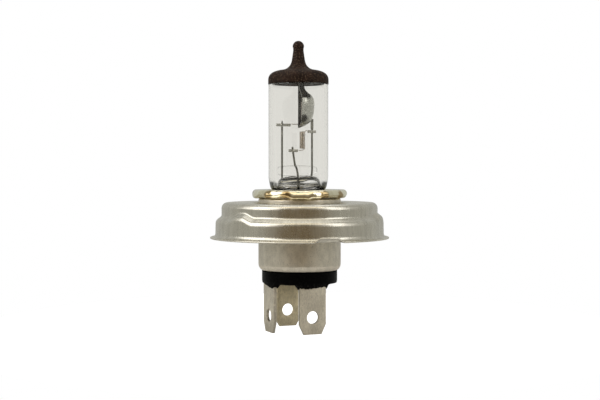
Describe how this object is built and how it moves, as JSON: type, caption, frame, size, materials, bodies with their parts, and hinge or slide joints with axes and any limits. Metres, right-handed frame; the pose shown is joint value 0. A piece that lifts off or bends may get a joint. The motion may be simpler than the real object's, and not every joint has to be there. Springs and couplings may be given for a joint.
{
  "type": "headlight bulb",
  "caption": "Double-filament halogen headlight bulb: painted-tip quartz tube with dip shield, gold collar, stamped two-step cap, black base and blade terminals.",
  "frame": {"origin": "on the cap's axis, in the plane where the cap's lip seats", "axes": "+Z along the axis towards the glass tip, -Y towards the high beam blade, -X towards the low beam blade"},
  "size_m": [0.0478, 0.0478, 0.0772],
  "materials": {
    "quartz_glass": "clear polished quartz with faint drawing streaks",
    "tip_paint": "matt dark brown heat-resistant paint, slightly speckled",
    "shield_metal": "polished molybdenum sheet",
    "lead_metal": "drawn molybdenum wire, slightly oxidised",
    "tungsten": "dull coiled tungsten wire",
    "foil_metal": "thin bright foil",
    "collar_gold": "polished, gold-coloured",
    "flange_steel": "satin nickel-plated sheet with fine vertical grain",
    "sleeve_steel": "satin nickel-plated sheet, finely speckled",
    "spring_steel": "plain spring steel",
    "black_insulator": "moulded black insulator with a slight sheen",
    "black_compound": "rough, hand-laid black compound",
    "blade_metal": "nickel-plated brass, satin",
    "ground_blade_metal": "thinly plated brass with a yellow cast"
  },
  "bodies": {
    "root": {"glass_envelope": "quartz_glass", "pinch_seal": "quartz_glass", "quartz_bridge": "quartz_glass", "tip_paint": "tip_paint", "dip_shield": "shield_metal", "shield_strap": "lead_metal", "low_post": "lead_metal", "high_post": "lead_metal", "common_post": "lead_metal", "low_foil": "foil_metal", "high_foil": "foil_metal", "common_foil": "foil_metal", "low_tab": "lead_metal", "high_upper_tab": "lead_metal", "high_lower_tab": "lead_metal", "low_beam_filament": "tungsten", "high_beam_filament": "tungsten", "pinch_clamp": "spring_steel", "flange_cup": "flange_steel", "sleeve": "sleeve_steel", "collar_ring": "collar_gold", "insulator_base": "black_insulator", "potting_compound": "black_compound", "high_beam_terminal": "blade_metal", "low_beam_terminal": "blade_metal", "ground_terminal": "ground_blade_metal", "low_outer_lead": "lead_metal", "high_outer_lead": "lead_metal", "common_outer_lead": "lead_metal"}
  },
  "joints": []
}
